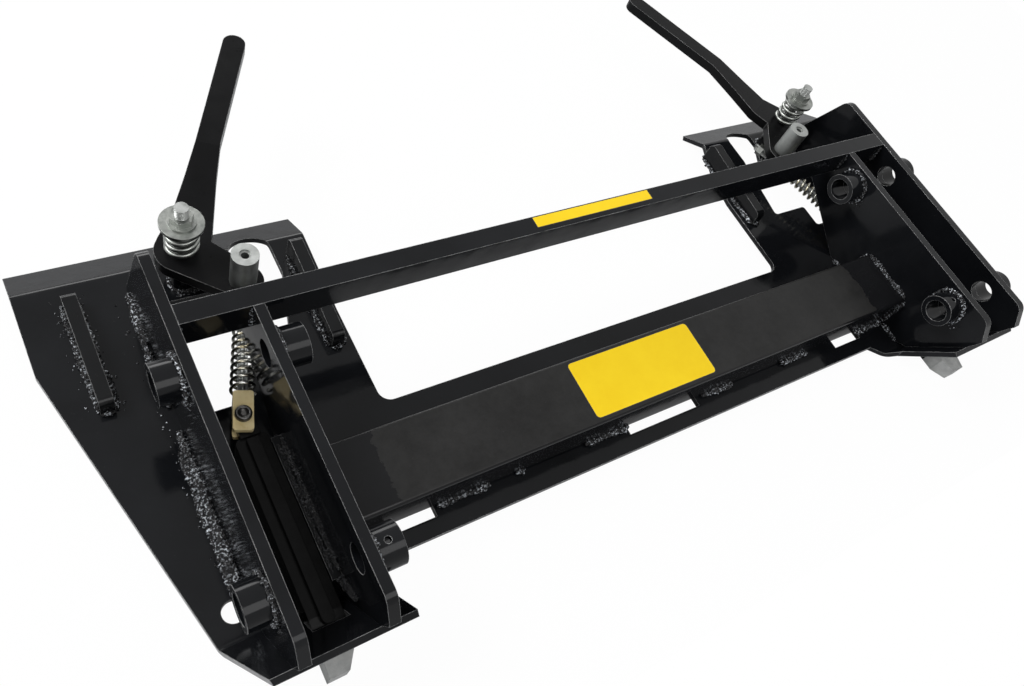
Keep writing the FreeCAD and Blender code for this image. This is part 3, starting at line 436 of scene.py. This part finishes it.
def channel_beads(bm, g, rng):
    """Beads on and beside the guides, between the two ears of one side."""
    foot, top = PLATE + 0.4, PLATE + 30
    for x in (g * (INNER_FAR + 9.9), g * (OUTER_NEAR - 11.1)):
        bead(bm, (x, 46, foot), (x, -88, foot), 1.6, rng, 8)
    for x, size in ((g * (INNER_FAR + 1.2), 4.6), (g * (OUTER_NEAR - 1.2), 4.2)):
        bead(bm, (x, 44, top + 1.5), (x, -87, top + 1.5), size, rng, 11)
    bead(bm, (g * (INNER_FAR + 6.0), 40, top), (g * (INNER_FAR + 6.4), -86, top), 3.0, rng, 10)
    bead(bm, (g * (INNER_FAR + 1.0), -90, PLATE + 26), (g * (INNER_FAR + 1.5), -118, 52), 5.0,
         rng, 11)
    for x in (g * (INNER_FAR + 4.5), g * (OUTER_NEAR - 4.5)):
        bead(bm, (x - 4, 48, PLATE + 12), (x + 4, 48, PLATE + 26), 3.4, rng)


def rib_beads(bm, g, rng):
    """Rough beads round both ribs of one side."""
    low, high = PLATE + 1, PLATE + 2
    for centre in (RIB_OUT, RIB_IN):
        middle = g * centre
        for x in (middle - 7.5, middle + 7.5):
            bead(bm, (x, 250, low), (x, 133, low), 3.6, rng, 10)
        bead(bm, (middle - 6, 129.5, high), (middle + 6, 129.5, high), 4.4, rng)
        bead(bm, (middle - 6, 253, low), (middle + 6, 253, low), 3.8, rng)
        inside = g * (centre - 8.0)
        bead(bm, (inside, 176, low), (inside, 131, high), 4.4, rng, 11)


def boss_beads(bm, g, rng):
    """Rings of bead where the pin bosses meet the ears."""
    for y in (PIN, -PIN):
        bead_loop(bm, (g * (OUTER_FAR + 1.5), y, PIN_Z), (1, 0, 0), 20.5, 3.8, rng)
        bead_loop(bm, (g * (INNER_NEAR - 1.5), y, PIN_Z), (1, 0, 0), 20.5, 3.6, rng)


def bar_beads(bm, g, rng):
    """Beads at the ends of the cross bar and the beam."""
    outer = g * (OUTER_NEAR - 0.6)
    for x in (outer, g * (INNER_FAR + 0.6), g * (INNER_NEAR - 0.6)):
        bead(bm, (x, BAR_LOW, 121), (x, BAR_LOW, 95), 2.6, rng)
    bead(bm, (outer, BAR_HIGH, 121), (outer, BAR_HIGH, 95), 2.6, rng)
    end = g * (INNER_NEAR - 1.2)
    bead(bm, (end, -57, 58), (end, 14, 58), 4.6, rng, 11)
    bead(bm, (end, -60.8, 54), (end, -60.8, 10), 4.4, rng, 10)
    bead(bm, (end, 17.8, 54), (end, 17.8, 10), 4.2, rng, 10)
    near = end - g * 3
    bead(bm, (near, -60.5, PLATE + 1.5), (end - g * 44, -60.5, PLATE + 1.2), 4.4, rng, 11)
    bead(bm, (near, 17.4, PLATE + 1.5), (end - g * 36, 17.4, PLATE + 1.2), 4.0, rng, 11)


# From X to X: the short beads under the beam's lower edge.
STITCHES = ((-378, -352), (-284, -225), (-195, -184), (-108, -50),
            (58, 108), (190, 238), (330, 378))


def all_beads():
    rng = random.Random(41)
    bm = bmesh.new()
    for g in SIDES:
        side_beads(bm, g, rng)
        rib_beads(bm, g, rng)
        boss_beads(bm, g, rng)
        bar_beads(bm, g, rng)
        bead_loop(bm, (g * POST_X, POST_Y, PLATE + 0.5), (0, 0, 1), 13.5, 3.0, rng)
    for low, high in STITCHES:
        bead(bm, (low, STITCH_Y, PLATE + 2.6), (high, STITCH_Y, PLATE + 2.6), 4.8, rng, 12)
    make_object("weld_beads", bm, WELD, "plate")
    bm = bmesh.new()
    for g in SIDES:
        channel_beads(bm, g, rng)
    make_object("weld_beads_channel", bm, WELD_BLACK, "plate")


def all_spatter():
    """Lumps on the plate beside the ears, posts and ribs, and on the ears round the bosses."""
    rng = random.Random(7)
    spread, pick = rng.uniform, rng.choice
    spots = []
    for g in SIDES:
        for _ in range(45):
            spots.append(((g * spread(477, 485), spread(-50, 240), PLATE), spread(0.5, 1.4)))
        for _ in range(60):
            spots.append(((g * POST_X + spread(-11, 11), spread(231, 236), PLATE),
                          spread(0.5, 1.6)))
        for _ in range(50):
            spots.append(((g * (RIB_IN + pick(SIDES) * spread(9, 12)), spread(131, 250), PLATE),
                          spread(0.5, 1.2)))
            spots.append(((g * (RIB_OUT + pick(SIDES) * spread(9, 17)), spread(126, 258), PLATE),
                          spread(0.5, 1.5)))
        for _ in range(70):
            pin_y = pick((PIN, -PIN))
            turn, reach = spread(0, 2 * math.pi), spread(22, 29)
            y, z = pin_y + reach * math.cos(turn), PIN_Z - abs(reach * math.sin(turn))
            for face in (OUTER_FAR, INNER_NEAR):
                spots.append(((g * face, y, z), spread(0.4, 1.2)))
    bm = bmesh.new()
    blobs(bm, spots, rng)
    make_object("weld_spatter", bm, WELD, "plate")


def round_rect(width, height, radius, steps=6):
    """Corner-rounded outline about the origin, in millimetres."""
    outline = []
    for cx, cy, begin in ((1, 1, 0), (-1, 1, 90), (-1, -1, 180), (1, -1, 270)):
        for i in range(steps + 1):
            turn = math.radians(begin + 90 * i / steps)
            outline.append((cx * (width / 2 - radius) + radius * math.cos(turn),
                            cy * (height / 2 - radius) + radius * math.sin(turn)))
    return outline


def sheet_piece(name, centre, width, height, radius, base, thick, material):
    """A thin film with rounded corners lying on a face that looks along +Z."""
    bm = bmesh.new()
    rims = []
    for scale, z in ((1.0, base), (0.999, base + thick)):
        rims.append([bm.verts.new(Vector((centre[0] + x * scale, centre[1] + y * scale, z)) * MM)
                     for x, y in round_rect(width, height, radius)])
    low, high = rims
    bm.faces.new(list(reversed(low)))
    bm.faces.new(high)
    for k in range(len(low)):
        j = (k + 1) % len(low)
        bm.faces.new((low[k], low[j], high[j], high[k]))
    make_object(name, bm, material, "plate", smooth=False)


BORDER_WIDE = 0.7                       # in mm, as are the two thicknesses
BORDER_T, FIELD_T = 0.14, 0.1
AIR = 0.02                              # between a label and the face under it


def labels():
    """Plain labels without words: a dark border film with a yellow field on it."""
    for name, centre, (width, height), radius, base in (
            ("label_beam", (-27.8, -21.2), (165.0, 66.0), 5.0, BEAM_TOP),
            ("label_bar", (-22.5, 142.4), (155.0, 13.6), 0.8, BAR_TOP)):
        sheet_piece(name + "_border", centre, width, height, radius, base + AIR, BORDER_T, BORDER)
        sheet_piece(name + "_field", centre, width - 2 * BORDER_WIDE, height - 2 * BORDER_WIDE,
                    radius * 0.85, base + AIR + BORDER_T, FIELD_T, LABEL)


# Section of the rim: the share of the pin's radius, and the height over its end in mm.
BOLT_RIM = ((0.98, -0.6), (0.98, 1.0), (0.86, 1.8), (0.62, 1.8),
            (0.56, 1.0), (0.56, 0.2), (0.30, 0.2), (0.26, -0.6))
BOLT_STEPS = 36


def bolt_ends():
    """A socket-headed end with a raised rim on each clevis pin."""
    for side_name in ("left", "right"):
        low, high = (Vector(corner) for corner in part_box("clevis_pin_" + side_name))
        x, y = (low.x + high.x) / 2, (low.y + high.y) / 2
        reach = (high.x - low.x) / 2
        bm = bmesh.new()
        rings = []
        for k in range(BOLT_STEPS):
            turn = 2 * math.pi * k / BOLT_STEPS
            rings.append([bm.verts.new((x + share * reach * math.cos(turn),
                                        y + share * reach * math.sin(turn), high.z + rise * MM))
                          for share, rise in BOLT_RIM])
        for a, b in zip(rings, rings[1:] + rings[:1]):
            for i in range(len(BOLT_RIM)):
                j = (i + 1) % len(BOLT_RIM)
                bm.faces.new((a[i], b[i], b[j], a[j]))
        bmesh.ops.recalc_face_normals(bm, faces=bm.faces)
        make_object("bolt_end_" + side_name, bm, DARK, "link_" + side_name)


all_beads()
all_spatter()
bolt_ends()
labels()


# ------------------------------------------------------------------- stage

# The floor touches the bottom bend and the top lip, on which the plate rests.
REST_LOW = Vector((0.0, -0.098, -0.0004))
REST_HIGH = Vector((0.0, 0.3068, -0.0208))
FLOOR_NEAR, FLOOR_FAR, FLOOR_HALF = -0.18, 1.3, 1.4
FLOOR_SHARE = 0.97                      # the rest keeps the object's shadow
FLOOR_MIRRORED = 0.15
WHITE = (1, 1, 1, 1)


def shown_rays(tree, mirrored=1.0):
    """1 for what the camera sees directly, and mirrored for what it sees in metal or glass."""
    path = node(tree, "ShaderNodeLightPath").outputs
    bent = maths(tree, "MAXIMUM", path["Is Glossy Ray"], path["Is Transmission Ray"])
    return maths(tree, "MAXIMUM", path["Is Camera Ray"],
                 maths(tree, "MULTIPLY", bent, mirrored))


def mix_shaders(tree, share, first, second, out):
    mix = node(tree, "ShaderNodeMixShader")
    tree.links.new(share, mix.inputs[0])
    tree.links.new(first.outputs[0], mix.inputs[1])
    tree.links.new(second.outputs[0], mix.inputs[2])
    tree.links.new(mix.outputs[0], out.inputs["Surface"])


def floor_material():
    material = bpy.data.materials.new("pale floor")
    material.use_nodes = True
    tree = material.node_tree
    tree.nodes.clear()
    diffuse = node(tree, "ShaderNodeBsdfDiffuse")
    diffuse.inputs["Color"].default_value = (0.8, 0.8, 0.8, 1)
    glow = node(tree, "ShaderNodeEmission")
    glow.inputs["Color"].default_value = WHITE
    glow.inputs["Strength"].default_value = 1.0
    share = maths(tree, "MULTIPLY", shown_rays(tree, FLOOR_MIRRORED), FLOOR_SHARE)
    mix_shaders(tree, share, diffuse, glow, node(tree, "ShaderNodeOutputMaterial"))
    return material


def stage():
    along = (REST_HIGH - REST_LOW).normalized()
    bm = bmesh.new()
    corners = [REST_LOW + Vector((x, 0, 0)) + along * y for x, y in
               ((-FLOOR_HALF, FLOOR_NEAR), (FLOOR_HALF, FLOOR_NEAR),
                (FLOOR_HALF, FLOOR_FAR), (-FLOOR_HALF, FLOOR_FAR))]
    bm.faces.new([bm.verts.new(corner) for corner in corners])
    mesh = bpy.data.meshes.new("floor")
    bm.to_mesh(mesh)
    bm.free()
    mesh.materials.append(floor_material())
    floor = bpy.data.objects.new("floor", mesh)
    bpy.context.scene.collection.objects.link(floor)


# The world's light by height, from below to above.
SKY = ((0.0, (0.95, 0.97, 1.0)), (0.35, (0.76, 0.784, 0.80)), (0.62, (0.8075, 0.833, 0.85)),
       (0.78, (0.399, 0.4116, 0.42)), (0.95, (0.34, 0.34, 0.34)))
SKY_PATCHES = ((0.40, (0.30, 0.30, 0.31)), (0.58, (1.10, 1.12, 1.17)))


def world():
    """White where the camera sees it; a soft, uneven light on the object."""
    made = bpy.data.worlds.new("studio")
    bpy.context.scene.world = made
    made.use_nodes = True
    tree = made.node_tree
    tree.nodes.clear()
    coords = node(tree, "ShaderNodeTexCoord").outputs["Generated"]
    sky = node(tree, "ShaderNodeMix", data_type="RGBA", blend_type="MULTIPLY")
    sky.inputs["Factor"].default_value = 1.0
    tree.links.new(ramp(tree, axes(tree, coords)["Z"], SKY), sky.inputs[6])
    patches = noise(tree, coords, 2.3, 1.0, 0.5)
    tree.links.new(ramp(tree, patches, SKY_PATCHES), sky.inputs[7])
    soft = node(tree, "ShaderNodeBackground")
    soft.inputs["Strength"].default_value = 0.62
    tree.links.new(sky.outputs[2], soft.inputs["Color"])
    plain = node(tree, "ShaderNodeBackground")
    plain.inputs["Color"].default_value = WHITE
    mix_shaders(tree, shown_rays(tree), soft, plain, node(tree, "ShaderNodeOutputWorld"))


def lamp(name, spot, aim, size, power):
    data = bpy.data.lights.new(name, "AREA")
    data.shape = "RECTANGLE"
    data.size, data.size_y = size
    data.energy = power
    made = bpy.data.objects.new(name, data)
    made.location = spot
    made.rotation_euler = (Vector(aim) - Vector(spot)).to_track_quat("-Z", "Y").to_euler()
    bpy.context.scene.collection.objects.link(made)


IMAGE_WIDTH = 1024
FOCAL_PIXELS = 856.26
SENSOR = 36.0
CAMERA_PLACE = (-0.573187, -0.24461, 0.753714)
CAMERA_RIGHT = Vector((0.831419, -0.466408, 0.302002))
CAMERA_DOWN = Vector((-0.271301, -0.81508, -0.511899))
CAMERA_AHEAD = Vector((0.48491, 0.343669, -0.80421))


def camera():
    data = bpy.data.cameras.new("camera")
    data.sensor_fit = "HORIZONTAL"
    data.sensor_width = SENSOR
    data.lens = SENSOR * FOCAL_PIXELS / IMAGE_WIDTH
    data.clip_start, data.clip_end = 0.02, 60.0
    made = bpy.data.objects.new("camera", data)
    turn = Matrix((CAMERA_RIGHT, -CAMERA_DOWN, -CAMERA_AHEAD)).transposed().to_4x4()
    made.matrix_world = Matrix.Translation(CAMERA_PLACE) @ turn
    bpy.context.scene.collection.objects.link(made)
    bpy.context.scene.camera = made


stage()
world()
lamp("key", (-1.85, 1.45, 2.1), (0, 0.05, 0), (1.6, 1.2), 69)
lamp("fill", (-0.1, -1.5, 2.4), (0, 0, 0), (1.6, 1.6), 29)
lamp("rim", (0.6, 2.6, 0.9), (0, 0, 0.05), (2.4, 0.8), 34)
camera()
bpy.context.scene.view_settings.view_transform = "Standard"
